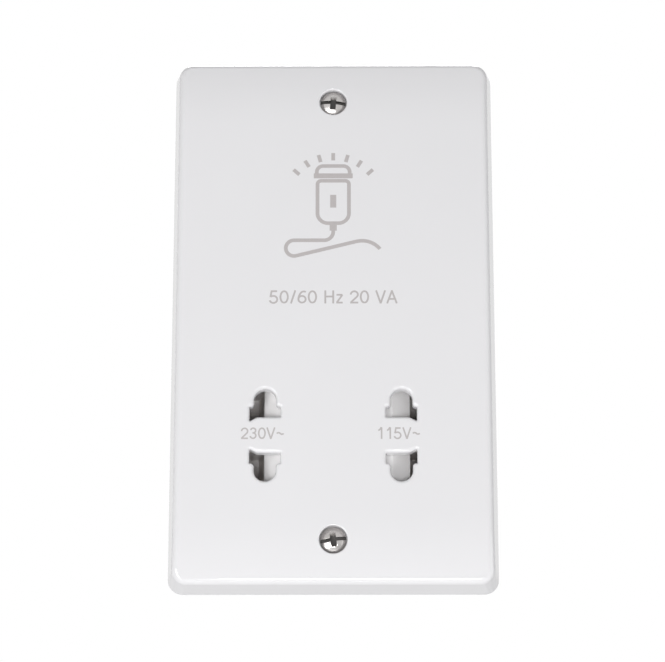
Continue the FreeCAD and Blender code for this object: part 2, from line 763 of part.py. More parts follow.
def make_lead(*points):
    """Insulated wire through a row of points, with a round bend at each corner."""
    spots = [Vector(*p) for p in points]
    edges = []
    start = spots[0]
    for before, corner, after in zip(spots, spots[1:], spots[2:]):
        back = before - corner
        ahead = after - corner
        half = back.getAngle(ahead) / 2
        reach = min(lead_bend / math.tan(half), lead_bend_share * min(back.Length, ahead.Length))
        back.normalize()
        ahead.normalize()
        radius = reach * math.tan(half)
        centre = corner + (back + ahead).normalize() * (radius / math.sin(half))
        bend_start = corner + back * reach
        bend_end = corner + ahead * reach
        middle = centre + (corner - centre).normalize() * radius
        edges.append(Part.LineSegment(start, bend_start).toShape())
        edges.append(Part.Arc(bend_start, middle, bend_end).toShape())
        start = bend_end
    edges.append(Part.LineSegment(start, spots[-1]).toShape())
    end = Part.Wire(Part.makeCircle(lead_radius, spots[0], spots[1] - spots[0]))
    return Part.Wire(edges).makePipeShell([end], True, False)


def make_leads():
    """All the wires inside, from tag to tag."""
    carrier_top = outlet_height + carrier_reach
    low, middle, high = [carrier_top + share * (core_bottom - carrier_top) for share in (0.25, 0.5, 0.75)]
    bend_y = (terminal_tag_end + cover_back) / 2
    behind_cover = cover_back + 4 * lead_radius
    side_x = inner_half_x - 6 * lead_radius
    past_cradle = core_half_x - cradle_reach - 2 * lead_radius
    cut_x = cutout_tag_spacing / 2
    tag_x = outlet_spacing / 2 - contact_root
    upper_z = outlet_height + contact_centre
    lower_z = upper_z - chamber_pitch
    link_x = -tag_x + 4 * lead_radius
    link_back = cover_back + link_thickness
    live_x, earth_x, neutral_x = terminal_xs
    pin_230, pin_common, pin_115, pin_neutral, pin_live = pin_xs
    return {
        "live_lead": make_lead(
            (live_x, terminal_tag_end, terminal_z), (live_x, bend_y, terminal_z),
            (-side_x, behind_cover, upper_z), (-side_x, behind_cover, low),
            (-side_x, cutout_y + lead_spread, middle), (-cut_x, cutout_y, high),
            (-cut_x, cutout_y, cutout_tag_tip)),
        "cutout_lead": make_lead(
            (cut_x, cutout_y, cutout_tag_tip), (cut_x, cutout_y, high),
            (past_cradle, core_front, middle), (past_cradle, core_rear, middle),
            (pin_live, pin_y, high), (pin_live, pin_y, pin_tip)),
        "neutral_lead": make_lead(
            (neutral_x, terminal_tag_end, terminal_z), (neutral_x, bend_y, terminal_z),
            (side_x, behind_cover, outlet_height), (side_x, pin_y, low),
            (pin_neutral, pin_y, low), (pin_neutral, pin_y, pin_tip)),
        "earth_lead": make_lead(
            (earth_x, terminal_tag_end, terminal_z), (earth_x, bend_y, terminal_z),
            (earth_x, behind_cover, upper_z), (earth_x, core_mid_y, low),
            (earth_x, core_mid_y, core_bottom)),
        "secondary_230_lead": make_lead(
            (pin_230, pin_y, pin_tip), (pin_230, pin_y, high), (-tag_x, core_rear, low),
            (-tag_x, tag_y + lead_spread, upper_z), (-tag_x, tag_y, upper_z)),
        "secondary_115_lead": make_lead(
            (pin_115, pin_y, pin_tip), (pin_115, pin_y, high), (tag_x, core_rear - lead_spread, low),
            (tag_x, tag_y + lead_spread, upper_z), (tag_x, tag_y, upper_z)),
        "secondary_common_lead": make_lead(
            (pin_common, pin_y, pin_tip), (pin_common, pin_y, high), (link_x, core_rear, low),
            (link_x, behind_cover, outlet_height), (link_x, behind_cover, lower_z),
            (link_x, link_back, lower_z)),
    }


nodes = {
    "front_plate": make_front_plate(),
    "fixing_screws": make_fixing_screws(),
    "interlock_slider": make_interlock_slider(),
    "contact_carrier": make_contact_carrier(),
    "contact_cover": make_contact_cover(),
    "carrier_screws": Part.makeCompound(
        [tapper(x, outlet_height, cover_back, carrier_tapper_length) for x in carrier_screw_xs]),
    "contact_230_upper": make_contact(outlet_xs[0], 1, 0),
    "contact_230_lower": make_contact(outlet_xs[0], 1, 1),
    "contact_115_upper": make_contact(outlet_xs[1], -1, 0),
    "contact_115_lower": make_contact(outlet_xs[1], -1, 1),
    "common_link": make_common_link(),
    "rear_housing": make_rear_housing(),
    "housing_screws": Part.makeCompound(
        [tapper(x, z, ear_back, housing_tapper_length) for x in (-ear_x, ear_x) for z in (-ear_z, ear_z)]),
    "terminal_live": make_terminal(terminal_xs[0]),
    "terminal_earth": make_terminal(terminal_xs[1]),
    "terminal_neutral": make_terminal(terminal_xs[2]),
    "terminal_screws": Part.makeCompound([make_terminal_screw(x) for x in terminal_xs]),
    "core_e_stack": make_core_e_stack(),
    "core_i_stack": make_core_i_stack(),
    "bobbin": make_bobbin(),
    "bobbin_pins": make_bobbin_pins(),
    "secondary_winding": make_winding(secondary_bottom),
    "primary_winding": make_winding(primary_bottom),
    "winding_tape": make_winding_tape(),
    "thermal_cutout": make_thermal_cutout(),
}
nodes.update(make_leads())

os.makedirs("parts", exist_ok=True)
for name, shape in nodes.items():
    shape.exportStep("parts/" + name + ".step")
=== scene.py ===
"""Looks of the dual-voltage shaver socket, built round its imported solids.

Lengths are in metres where nothing else is said, in the part's own frame: X to the right, Z up, and the
plate faces -Y.
"""

import json
import math

import bmesh
import bpy
from bpy.props import FloatProperty, FloatVectorProperty, PointerProperty, StringProperty
from mathutils import Matrix, Vector


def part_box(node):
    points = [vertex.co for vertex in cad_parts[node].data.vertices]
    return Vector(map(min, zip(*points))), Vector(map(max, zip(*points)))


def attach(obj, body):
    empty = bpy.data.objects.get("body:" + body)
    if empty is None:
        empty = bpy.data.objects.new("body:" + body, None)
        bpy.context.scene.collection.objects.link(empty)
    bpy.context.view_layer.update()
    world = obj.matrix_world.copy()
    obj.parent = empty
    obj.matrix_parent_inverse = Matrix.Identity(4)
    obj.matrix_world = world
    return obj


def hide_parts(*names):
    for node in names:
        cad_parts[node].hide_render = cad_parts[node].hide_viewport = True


bl_info = {
    "name": "Shaver socket looks",
    "version": (1, 0, 0),
    "blender": (4, 5, 0),
    "location": "View3D > Sidebar > Socket",
    "description": "Finishes, markings, screws and stage for the dual-voltage shaver socket",
    "category": "Object",
}

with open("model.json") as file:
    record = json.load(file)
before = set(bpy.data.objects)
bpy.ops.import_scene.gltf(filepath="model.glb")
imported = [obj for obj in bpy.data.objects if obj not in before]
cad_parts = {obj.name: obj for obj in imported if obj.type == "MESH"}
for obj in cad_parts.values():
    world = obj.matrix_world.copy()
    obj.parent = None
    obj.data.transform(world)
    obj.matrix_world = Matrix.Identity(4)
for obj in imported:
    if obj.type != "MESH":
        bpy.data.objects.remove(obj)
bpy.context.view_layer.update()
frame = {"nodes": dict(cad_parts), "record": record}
mm = 0.001
nodes = frame["nodes"]
slot_colours = {m["slot"]: tuple(m["base_color"]) for m in frame["record"]["materials"]}
face_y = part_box("front_plate")[0].y
rear_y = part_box("rear_housing")[1].y
fixing_low, fixing_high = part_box("fixing_screws")
housing_screw_low, housing_screw_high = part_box("housing_screws")
carrier_screw_low, carrier_screw_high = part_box("carrier_screws")
clamp_low, clamp_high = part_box("terminal_screws")

# Places of the printed lines
volt_foot = -33.75 * mm
left_volt_start = -24.2 * mm
right_volt_start = 11.2 * mm
rating_foot = 3.2 * mm

# Letters and earth sign over the terminals; each bar of the earth sign has half its length here
terminal_ink = (0.08, 0.08, 0.08)
terminal_sign_height = 3.0 * mm
terminal_sign_foot = -36.0 * mm
terminal_spacing = 18.0 * mm
earth_stem = 1.5 * mm
earth_step = 0.65 * mm
earth_bars = (1.5 * mm, 1.0 * mm, 0.45 * mm)

# Fixing screws
fixing_radius = 3.4 * mm
fixing_head = 2.1 * mm
fixing_edge = 1.0 * mm
fixing_dome = 1.1 * mm
fixing_slot_depth = 2.2 * mm
fixing_cross_depth = 2.6 * mm
fixing_cross_length = 5.6 * mm
fixing_cross_taper = (0.75, 1.0, 0.45)
fixing_bevel = 0.07 * mm
fixing_thread_radius = 1.75 * mm
fixing_thread_start = -0.3 * mm
fixing_neck_radius = 1.5 * mm
fixing_neck_end = -0.1 * mm
fixing_neck_overlap = 0.2 * mm

# Self-tapping screws; their turns, in radians, are a common one, then by side and by row
tapper_radius = 2.5 * mm
tapper_edge = 0.9 * mm
tapper_dome = 0.9 * mm
tapper_height = 1.8 * mm
tapper_recess = (0.7 * mm, 2.2 * mm, 2.9 * mm)
tapper_recess_taper = (0.7, 1.0, 0.35)
tapper_bevel = 0.06 * mm
tapper_thread_radius = 1.1 * mm
tapper_turns = (0.5, 0.9, 0.6)

# Clamp screws of the terminals, and the turn of each from left to right, in radians
clamp_radius = 2.6 * mm
clamp_height = 2.0 * mm
clamp_edge = 1.7 * mm
clamp_dome = 0.3 * mm
clamp_slot = 0.8 * mm
clamp_slot_depth = 2.0 * mm
clamp_bevel = 0.08 * mm
clamp_thread_radius = 1.5 * mm
clamp_turns = (0.5, -0.3, 0.9)

# All round heads, and the threads of the small screws
head_facets = 72
small_thread_depth = 0.25 * mm
thread_overlap = 0.3 * mm

# Stage: each lamp has its azimuth and elevation in degrees, distance, width and height
lamp_places = {
    "key": (4.0, -54.0, 1.0, (1.7, 0.28)),
    "left": (-30.0, -20.0, 1.0, (0.4, 0.4)),
    "front": (1.0, -23.0, 0.95, (0.16, 0.16)),
    "right": (66.0, -12.0, 1.0, (0.6, 0.6)),
    "back": (180.0, 52.0, 1.2, (0.6, 0.6)),
}
floor_size = 8.0
floor_level = -1.1
sensor_width = 36.0


def colour(name, description, default):
    """Colour property."""
    return FloatVectorProperty(name=name, description=description, default=default,
                               subtype="COLOR", size=3, min=0.0, max=1.0)


def length(name, description, default):
    """Length property, given in millimetres."""
    return FloatProperty(name=name, description=description, default=default * mm, unit="LENGTH", precision=5)


def share(name, description, default):
    """Property from 0 to 1."""
    return FloatProperty(name=name, description=description, default=default, min=0.0, max=1.0)


def turn(name, description, default):
    """Angle property, given in degrees."""
    return FloatProperty(name=name, description=description, default=math.radians(default), unit="ROTATION")


def power(name, description, default):
    """Lamp power property, in watts."""
    return FloatProperty(name=name, description=description, default=default, min=0.0, unit="POWER")


def words(name, description, default):
    """Text property."""
    return StringProperty(name=name, description=description, default=default)


class PlateLooks(bpy.types.PropertyGroup):
    """Front plate and what is printed on it"""
    white: colour("Plate", "Gloss white of the plate", (0.80, 0.795, 0.81))
    ink: colour("Ink", "Grey of the printed marks", (0.49, 0.46, 0.46))
    gloss: share("Roughness", "Roughness of the plate", 0.06)
    ink_film: length("Ink film", "How far the ink stands on the plate", 0.015)
    volt_height: length("Voltage height", "Height of the voltage figures", 3.1)
    volt_width: length("Voltage width", "Width of one voltage mark", 11.6)
    rating_height: length("Rating height", "Height of the rating line", 3.6)
    rating_width: length("Rating width", "Width of the rating line", 34.0)
    weight: share("Weight", "Line of the lettering, as a share of its height", 0.13)
    symbol_line: length("Symbol line", "Width of the symbol's lines", 1.0)
    left_text: words("Left outlet", "Voltage of the left outlet", "230V~")
    right_text: words("Right outlet", "Voltage of the right outlet", "115V~")
    rating_text: words("Rating", "Rating line of the plate", "50/60 Hz 20 VA")


class InnerLooks(bpy.types.PropertyGroup):
    """Mouldings behind the plate"""
    housing: colour("Housing", "White of the rear housing", slot_colours["housing_white"])
    slider: colour("Slider", "White of the interlock slider", (0.93, 0.92, 0.92))
    carrier: colour("Carrier", "White of the contact carrier", (0.92, 0.895, 0.88))
    bobbin: colour("Bobbin", "Black of the bobbin", slot_colours["bobbin_plastic"])
    cutout: colour("Cut-out", "Black of the thermal cut-out", slot_colours["cutout_black"])
    tape: colour("Tape", "Yellow of the winding tape", slot_colours["tape_yellow"])
    stripe: colour("Stripe", "Yellow stripe of the earth lead", (0.75, 0.62, 0.05))


class MetalLooks(bpy.types.PropertyGroup):
    """Metals"""
    nickel: colour("Nickel", "Plating of the fixing screws", (0.50, 0.48, 0.47))
    contact: colour("Contact", "Plating of the spring contacts", (0.80, 0.77, 0.75))
    zinc: colour("Zinc", "Plating of the small screws", slot_colours["zinc_screws"])
    brass: colour("Brass", "Terminals", slot_colours["brass"])
    copper: colour("Copper", "Enamelled wire", slot_colours["copper"])
    steel: colour("Steel", "Core laminations", slot_colours["core_steel"])


class ScrewSizes(bpy.types.PropertyGroup):
    """Threads and driver slots"""
    pitch: length("Pitch", "Thread pitch of the fixing screws", 0.6)
    thread: length("Thread depth", "Depth of the fixing screws' thread", 0.3)
    slot: length("Slot", "Width of the fixing screws' driver slots", 0.9)
    cross: length("Cross", "Width of the fixing screws' cross arms", 1.75)
    upper_turn: turn("Upper turn", "How far the upper screw is turned", -4.0)
    lower_turn: turn("Lower turn", "How far the lower screw is turned", 8.0)
    tapper_pitch: length("Tapper pitch", "Thread pitch of the self-tapping screws", 0.9)
    clamp_pitch: length("Clamp pitch", "Thread pitch of the terminal screws", 0.5)


class StageSettings(bpy.types.PropertyGroup):
    """Camera and light"""
    lens: FloatProperty(name="Lens", description="Focal length of the camera", default=149.08, unit="CAMERA")
    distance: FloatProperty(name="Distance", description="Camera to target", default=0.73456, unit="LENGTH")
    azimuth: turn("Azimuth", "Camera turned to the right of the plate's front", 0.205)
    elevation: turn("Elevation", "Camera above the plate's middle", -16.92)
    target: FloatVectorProperty(name="Target", description="Point that the camera looks at", subtype="XYZ",
                                default=(-0.000226, 0.0, -0.001523), size=3, unit="LENGTH")
    ambient: share("Ambient", "Light from all round", 0.34)
    floor_lift: share("Floor lift", "How far the floor is paled towards the background", 0.42)
    key: power("Key", "Power of the wide key lamp", 2.5)
    left: power("Left", "Power of the lamp on the left", 3.9)
    front: power("Front", "Power of the lamp beside the camera", 1.6)
    right: power("Right", "Power of the lamp on the right", 1.4)
    back: power("Back", "Power of the lamp behind", 7.0)


class Field:
    """A number that changes over a surface: arithmetic on it adds Math nodes."""

    def __init__(self, sheet, socket):
        self.sheet = sheet
        self.socket = socket

    def combine(self, operation, first, second):
        return self.sheet.node("ShaderNodeMath", {"operation": operation}, {0: first, 1: second})

    def __add__(self, other):
        return self.combine("ADD", self, other)

    def __radd__(self, other):
        return self.combine("ADD", other, self)

    def __mul__(self, other):
        return self.combine("MULTIPLY", self, other)

    def __rmul__(self, other):
        return self.combine("MULTIPLY", other, self)


class Sheet:
    """Node tree of one finish."""

    def __init__(self, owner):
        owner.use_nodes = True
        self.owner = owner
        self.tree = owner.node_tree
        self.tree.nodes.clear()

    def node(self, kind, settings, sockets, give=0):
        """Adds a node: its settings first, then the values or links of its sockets. Returns one output."""
        node = self.tree.nodes.new(kind)
        for key, value in settings.items():
            if key == "stops":
                ramp = node.color_ramp
                while len(ramp.elements) < len(value):
                    ramp.elements.new(0.5)
                for element, (position, tint) in zip(ramp.elements, value):
                    element.position = position
                    element.color = (*tint, 1.0)
            else:
                setattr(node, key, value)
        for key, value in sockets.items():
            if isinstance(value, Field):
                self.tree.links.new(value.socket, node.inputs[key])
            else:
                default = node.inputs[key].default_value
                wants_alpha = hasattr(default, "__len__") and len(default) == 4 and len(value) == 3
                node.inputs[key].default_value = (*value, 1.0) if wants_alpha else value
        return Field(self, node.outputs[give]) if node.outputs else None

    def place(self, scale=(1.0, 1.0, 1.0)):
        """Object coordinates, stretched."""
        spot = self.node("ShaderNodeTexCoord", {}, {}, "Object")
        return self.node("ShaderNodeMapping", {}, {"Vector": spot, "Scale": scale})

    def cloud(self, scale, detail=2.0, spot=None):
        """Soft noise from 0 to 1."""
        return self.node("ShaderNodeTexNoise", {},
                         {"Vector": spot or self.place(), "Scale": scale, "Detail": detail})

    def bands(self, axis, pitch, wobble=0.0):
        """Even bands across one axis."""
        return self.node("ShaderNodeTexWave", {"wave_type": "BANDS", "bands_direction": axis},
                         {"Vector": self.place(), "Scale": math.pi / (10.0 * pitch), "Distortion": wobble,
                          "Detail": 1.0}, "Fac")

    def blend(self, mask, first, second):
        """Mixes two colours."""
        return self.node("ShaderNodeMix", {"data_type": "RGBA"}, {0: mask, 6: first, 7: second}, 2)

    def bump(self, height, strength, depth):
        """Normal of a surface with small relief."""
        return self.node("ShaderNodeBump", {}, {"Height": height, "Strength": strength, "Distance": depth})

    def background(self):
        """1 for rays that show the background, straight on or by way of gloss or glass."""
        seen = 0.0
        for ray in ("Is Camera Ray", "Is Glossy Ray", "Is Transmission Ray"):
            seen = seen + self.node("ShaderNodeLightPath", {}, {}, ray)
        return self.node("ShaderNodeMath", {"operation": "MINIMUM"}, {0: seen, 1: 1.0})

    def surface(self, sockets):
        """Ends the finish in a Principled shader and returns its material."""
        shader = self.node("ShaderNodeBsdfPrincipled", {}, sockets)
        self.node("ShaderNodeOutputMaterial", {}, {"Surface": shader})
        return self.owner


def finish(name):
    """Starts the finish of a new material."""
    return Sheet(bpy.data.materials.new(name))


def shade(tint, factor):
    """Colour made lighter or darker."""
    return tuple(min(1.0, channel * factor) for channel in tint)


def gloss_moulding(name, tint, roughness):
    """Polished thermoset plastic: even, with a faint flow pattern and a little orange peel."""
    sheet = finish(name)
    flow = sheet.cloud(35.0, detail=3.0)
    peel = sheet.cloud(700.0, detail=1.0)
    return sheet.surface({
        "Base Color": sheet.blend(flow, shade(tint, 0.985), shade(tint, 1.012)),
        "Roughness": roughness + 0.05 * flow,
        "Normal": sheet.bump(peel, strength=0.02, depth=0.04 * mm),
        "IOR": 1.52,
    })


def grained_moulding(name, tint, roughness, grain=2600.0):
    """Satin plastic from an eroded mould."""
    sheet = finish(name)
    fine = sheet.cloud(grain)
    broad = sheet.cloud(60.0)
    return sheet.surface({
        "Base Color": sheet.blend(broad * 0.7 + fine * 0.3, shade(tint, 0.93), shade(tint, 1.05)),
        "Roughness": roughness + 0.14 * fine,
        "Normal": sheet.bump(fine, strength=0.22, depth=0.06 * mm),
        "IOR": 1.49,
    })


def plated(name, tint, roughness, streak=(1.0, 1.0, 12.0)):
    """Plated metal: fine drawing marks, and a duller film in places."""
    sheet = finish(name)
    marks = sheet.cloud(900.0, detail=3.0, spot=sheet.place(streak))
    film = sheet.cloud(260.0)
    return sheet.surface({
        "Base Color": sheet.blend(film, shade(tint, 0.86), shade(tint, 1.10)),
        "Metallic": 1.0,
        "Roughness": roughness + 0.16 * marks * film,
        "Normal": sheet.bump(marks, strength=0.10, depth=0.03 * mm),
    })


def turned_brass(name, tint):
    """Brass with tool marks and a brown film."""
    sheet = finish(name)
    marks = sheet.bands("Y", pitch=0.18 * mm, wobble=1.5)
    film = sheet.cloud(190.0, detail=4.0)
    return sheet.surface({
        "Base Color": sheet.blend(film, shade(tint, 0.72), shade(tint, 1.08)),
        "Metallic": 1.0,
        "Roughness": 0.26 + 0.20 * film,
        "Normal": sheet.bump(marks, strength=0.12, depth=0.02 * mm),
    })


def laminated(name, tint):
    """Stack of thin sheets seen on edge: dark joints and rusty edges."""
    sheet = finish(name)
    layers = sheet.bands("Y", pitch=0.5 * mm, wobble=0.3)
    film = sheet.cloud(140.0, detail=4.0)
    rust = (0.30, 0.20, 0.13)
    edge = sheet.blend(film, shade(tint, 0.8), rust)
    return sheet.surface({
        "Base Color": sheet.blend(layers, shade(tint, 0.35), edge),
        "Metallic": 0.8,
        "Roughness": 0.42 + 0.25 * film,
        "Normal": sheet.bump(layers, strength=0.5, depth=0.1 * mm),
    })


def wound_wire(name, tint):
    """Enamelled wire, turn beside turn, with painted shade in the grooves between turns."""
    sheet = finish(name)
    turns = sheet.bands("Z", pitch=0.32 * mm, wobble=0.4)
    film = sheet.cloud(120.0)
    return sheet.surface({
        # The dark part of each band, at 0.35 of the copper, is painted shade in the groove between two turns
        "Base Color": sheet.blend(turns, shade(tint, 0.35), sheet.blend(film, tint, shade(tint, 1.25))),
        "Metallic": 0.9,
        "Roughness": 0.24 + 0.1 * film,
        "Normal": sheet.bump(turns, strength=0.6, depth=0.12 * mm),
        "Coat Weight": 0.5,
    })


def film_tape(name, tint):
    """Polyester tape over the coils, with faint turns showing through."""
    sheet = finish(name)
    turns = sheet.bands("Z", pitch=0.64 * mm, wobble=0.8)
    crease = sheet.cloud(180.0, detail=3.0)
    return sheet.surface({
        "Base Color": sheet.blend(turns * 0.5 + crease * 0.3, shade(tint, 0.8), shade(tint, 1.1)),
        "Roughness": 0.22 + 0.2 * crease,
        "Normal": sheet.bump(crease + 0.5 * turns, strength=0.2, depth=0.1 * mm),
    })


def insulation(name, tint, stripe=None):
    """Wire insulation, with a second colour in a stripe where it has one."""
    sheet = finish(name)
    rub = sheet.cloud(420.0, detail=3.0)
    coat = sheet.blend(rub, shade(tint, 0.85), shade(tint, 1.12))
    if stripe:
        mask = sheet.node("ShaderNodeValToRGB", {"stops": [(0.45, (0, 0, 0)), (0.55, (1, 1, 1))]},
                          {"Fac": sheet.bands("DIAGONAL", pitch=4.0 * mm)})
        coat = sheet.blend(mask, coat, stripe)
    return sheet.surface({
        "Base Color": coat,
        "Roughness": 0.34 + 0.15 * rub,
        "Normal": sheet.bump(rub, strength=0.08, depth=0.05 * mm),
    })


def printed_ink(name, tint):
    """Pad-printed ink, a little uneven."""
    sheet = finish(name)
    pores = sheet.cloud(2200.0)
    return sheet.surface({
        "Base Color": sheet.blend(pores, shade(tint, 0.93), shade(tint, 1.07)),
        "Roughness": 0.42 + 0.12 * pores,
        "Normal": sheet.bump(pores, strength=0.05, depth=0.02 * mm),
    })


def pale_floor(name, lift):
    """Matt floor, paled where it shows as background."""
    sheet = finish(name)
    grain = sheet.cloud(6.0, detail=3.0)
    return sheet.surface({
        "Base Color": sheet.blend(grain, (0.86, 0.86, 0.86), (0.90, 0.90, 0.90)),
        "Roughness": 0.6 + 0.1 * grain,
        "Emission Color": sheet.blend(sheet.background(), (0.0, 0.0, 0.0), (lift, lift, lift)),
        "Emission Strength": 1.0,
    })


def dress(material, *names):
    """Gives CAD nodes one finish."""
    for name in names:
        slots = nodes[name].data.materials
        slots.clear()
        slots.append(material)


def begin():
    """Leaves edit mode and deselects everything."""
    if bpy.context.object and bpy.context.object.mode != "OBJECT":
        bpy.ops.object.mode_set(mode="OBJECT")
    bpy.ops.object.select_all(action="DESELECT")


def only(piece, *others):
    """Selects pieces, the first one active."""
    begin()
    for each in (piece, *others):
        each.select_set(True)
    bpy.context.view_layer.objects.active = piece


def edit(piece):
    """Opens one piece in edit mode."""
    only(piece)
    bpy.ops.object.mode_set(mode="EDIT")


def close():
    """Goes back to object mode."""
    bpy.ops.object.mode_set(mode="OBJECT")


def pick(test, kind="verts"):
    """In edit mode, selects the vertices or faces that pass a test of their place."""
    bpy.ops.mesh.select_all(action="DESELECT")
    mesh = bmesh.from_edit_mesh(bpy.context.object.data)
    for element in getattr(mesh, kind):
        spot = element.co if kind == "verts" else element.calc_center_median()
        if test(spot, element):
            element.select_set(True)
    mesh.select_flush(True)
    bmesh.update_edit_mesh(bpy.context.object.data)


def apply_modifier(piece, kind, **settings):
    """Adds one modifier and applies it."""
    only(piece)
    modifier = piece.modifiers.new(kind.title(), kind)
    for key, value in settings.items():
        setattr(modifier, key, value)
    bpy.ops.object.modifier_apply(modifier=modifier.name)


def apply_place(piece):
    """Moves a piece's place into its mesh."""
    only(piece)
    bpy.ops.object.transform_apply(location=True, rotation=True, scale=True)


def combine(piece, operation, others):
    """Takes other closed shapes out of a piece, or makes them one with it."""
    for other in others:
        apply_modifier(piece, "BOOLEAN", operation=operation, solver="EXACT", object=other,
                       material_mode="TRANSFER")
        bpy.data.objects.remove(other)


def cut(piece, *cutters):
    """Takes the cutters out of a piece."""
    combine(piece, "DIFFERENCE", cutters)


def fuse(piece, *others):
    """Makes several closed shapes one."""
    combine(piece, "UNION", others)


def clean(piece):
    """Merges doubles, turns the faces outward and smooths all but the edges."""
    edit(piece)
    bpy.ops.mesh.select_all(action="SELECT")
    bpy.ops.mesh.remove_doubles(threshold=1e-7)
    bpy.ops.mesh.normals_make_consistent(inside=False)
    close()
    bpy.ops.object.shade_smooth_by_angle(angle=math.radians(30.0))


def copy_of(piece, place):
    """Copy of a piece with its own mesh, moved by a matrix."""
    twin = piece.copy()
    twin.data = piece.data.copy()
    bpy.context.collection.objects.link(twin)
    twin.matrix_world = place
    apply_place(twin)
    return twin


def copies_of(model, places):
    """Copies of a model at several places, joined into one piece; the model itself goes."""
    only(*[copy_of(model, place) for place in places])
    bpy.ops.object.join()
    bpy.data.objects.remove(model)
    return bpy.context.object


def hand_over(piece, name, material, replaced=None):
    """Names a finished piece, gives it its finish and fixes it to the socket."""
    piece.name = name
    piece.data.name = name
    if material:
        piece.data.materials.clear()
        piece.data.materials.append(material)
    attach(piece, "socket")
    if replaced:
        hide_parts(replaced)
    begin()


def block(size, middle):
    """Block of a size round a middle, its place in its mesh."""
    begin()
    bpy.ops.mesh.primitive_cube_add(size=1.0, location=middle)
    piece = bpy.context.object
    piece.scale = size
    apply_place(piece)
    return piece


def tapered_block(size, level, toward, taper):
    """Block round a level of Y, narrowed on the side that toward names."""
    piece = block(size, (0, level, 0))
    edit(piece)
    pick(lambda spot, vertex: toward * (spot.y - level) > 0)
    bpy.ops.transform.resize(value=taper, center_override=(0, level, 0))
    close()
    return piece


def threaded_rod(major, depth, pitch, start, end):
    """Screw thread along Y between two levels: one turn's outline, swept and cut square at both ends."""
    begin()
    bpy.ops.mesh.primitive_plane_add(size=pitch)
    rod = bpy.context.object
    edit(rod)
    pick(lambda spot, vertex: spot.x < 0)
    bpy.ops.mesh.delete(type="VERT")
    bpy.ops.mesh.select_all(action="SELECT")
    bpy.ops.mesh.subdivide(number_cuts=7)
    crest = start - pitch / 2
    bpy.ops.transform.translate(value=(major - depth - pitch / 2, crest, 0))
    for flank in (0.3, 0.2):
        pick(lambda spot, vertex: abs(spot.y - crest) < pitch * flank)
        bpy.ops.transform.translate(value=(depth * 0.5, 0, 0))
    close()
    turns = math.ceil((end - start) / pitch) + 2
    apply_modifier(rod, "SCREW", axis="Y", angle=2 * math.pi, screw_offset=pitch, iterations=turns,
                   steps=24, render_steps=24, use_merge_vertices=True, merge_threshold=1e-7)
    edit(rod)
    for level, outward in ((start, -1), (end, 1)):
        bpy.ops.mesh.select_all(action="SELECT")
        bpy.ops.mesh.bisect(plane_co=(0, level, 0), plane_no=(0, outward, 0), use_fill=True,
                            clear_outer=True, threshold=1e-8)
    close()
    clean(rod)
    return rod


def round_head(radius, edge, dome, seat, toward, rings=7):
    """Domed head on its seat, toward -1 or 1 along Y: a disc whose top is inset again and again."""
    begin()
    bpy.ops.mesh.primitive_cylinder_add(vertices=head_facets, radius=radius, depth=edge,
                                        rotation=(-toward * math.pi / 2, 0, 0),
                                        location=(0, seat + toward * edge / 2, 0))
    head = bpy.context.object
    apply_place(head)
    ball = (radius ** 2 + dome ** 2) / (2 * dome)
    sweep = math.asin(radius / ball)
    smallest = 0.12
    edit(head)
    pick(lambda spot, face: toward * face.normal.y > 0.9, "faces")
    for ring in range(rings):
        outer = sweep * (rings - ring) / rings
        inner = sweep * max(rings - ring - 1, smallest) / rings
        bpy.ops.mesh.inset(thickness=ball * (math.sin(outer) - math.sin(inner)),
                           depth=ball * (math.cos(inner) - math.cos(outer)))
    close()
    return head


def soft_edges(piece, width):
    """Breaks a piece's sharp edges."""
    apply_modifier(piece, "BEVEL", width=width, segments=2, limit_method="ANGLE",
                   angle_limit=math.radians(40.0), use_clamp_overlap=True)


def stroke(width, start, heading, moves):
    """Flat line drawn in XY: an edge across its start is extruded along the runs and spun round the bends.

    The heading and the bends are in degrees, to the left where they are positive.
    """
    begin()
    bpy.ops.mesh.primitive_plane_add(size=1.0)
    line = bpy.context.object
    edit(line)
    pick(lambda spot, vertex: spot.x < 0)
    bpy.ops.mesh.delete(type="VERT")
    close()
    heading = math.radians(heading)
    spot = Vector((start[0], start[1], 0.0))
    line.matrix_world = (Matrix.Translation(spot) @ Matrix.Rotation(heading, 4, "Z")
                         @ Matrix.Diagonal((1.0, width, 1.0, 1.0)) @ Matrix.Translation((-0.5, 0.0, 0.0)))
    apply_place(line)
    edit(line)
    bpy.ops.mesh.select_all(action="SELECT")
    ahead = Vector((math.cos(heading), math.sin(heading), 0.0))
    facet = math.radians(9.0)
    for kind, size, *bend in moves:
        if kind == "run":
            bpy.ops.mesh.extrude_region_move(TRANSFORM_OT_translate={"value": ahead * size})
            spot = spot + ahead * size
            continue
        angle = math.radians(bend[0])
        centre = spot + Vector((-ahead.y, ahead.x, 0.0)) * math.copysign(size, angle)
        steps = max(3, round(abs(angle) / facet))
        bpy.ops.mesh.spin(steps=steps, angle=-angle, center=centre, axis=(0, 0, 1))
        swing = Matrix.Rotation(angle, 3, "Z")
        spot = centre + swing @ (spot - centre)
        ahead = swing @ ahead
    close()
    return line


def print_on(strokes, film, level, about=0.0):
    """Makes strokes one film of ink, drawn in XY, and stands it up on a face at a level of Y."""
    for line in strokes:
        clean(line)
        apply_modifier(line, "SOLIDIFY", thickness=2 * film, offset=0.0)
    fuse(*strokes)
    mark = strokes[0]
    mark.rotation_euler = (math.pi / 2, 0, about)
    mark.location = (0, level, 0)
    apply_place(mark)
    clean(mark)
    return mark


oval = [("bend", 0.67, 30.0), ("bend", 0.20, 120.0), ("bend", 0.67, 60.0), ("bend", 0.20, 120.0),
        ("bend", 0.67, 30.0)]
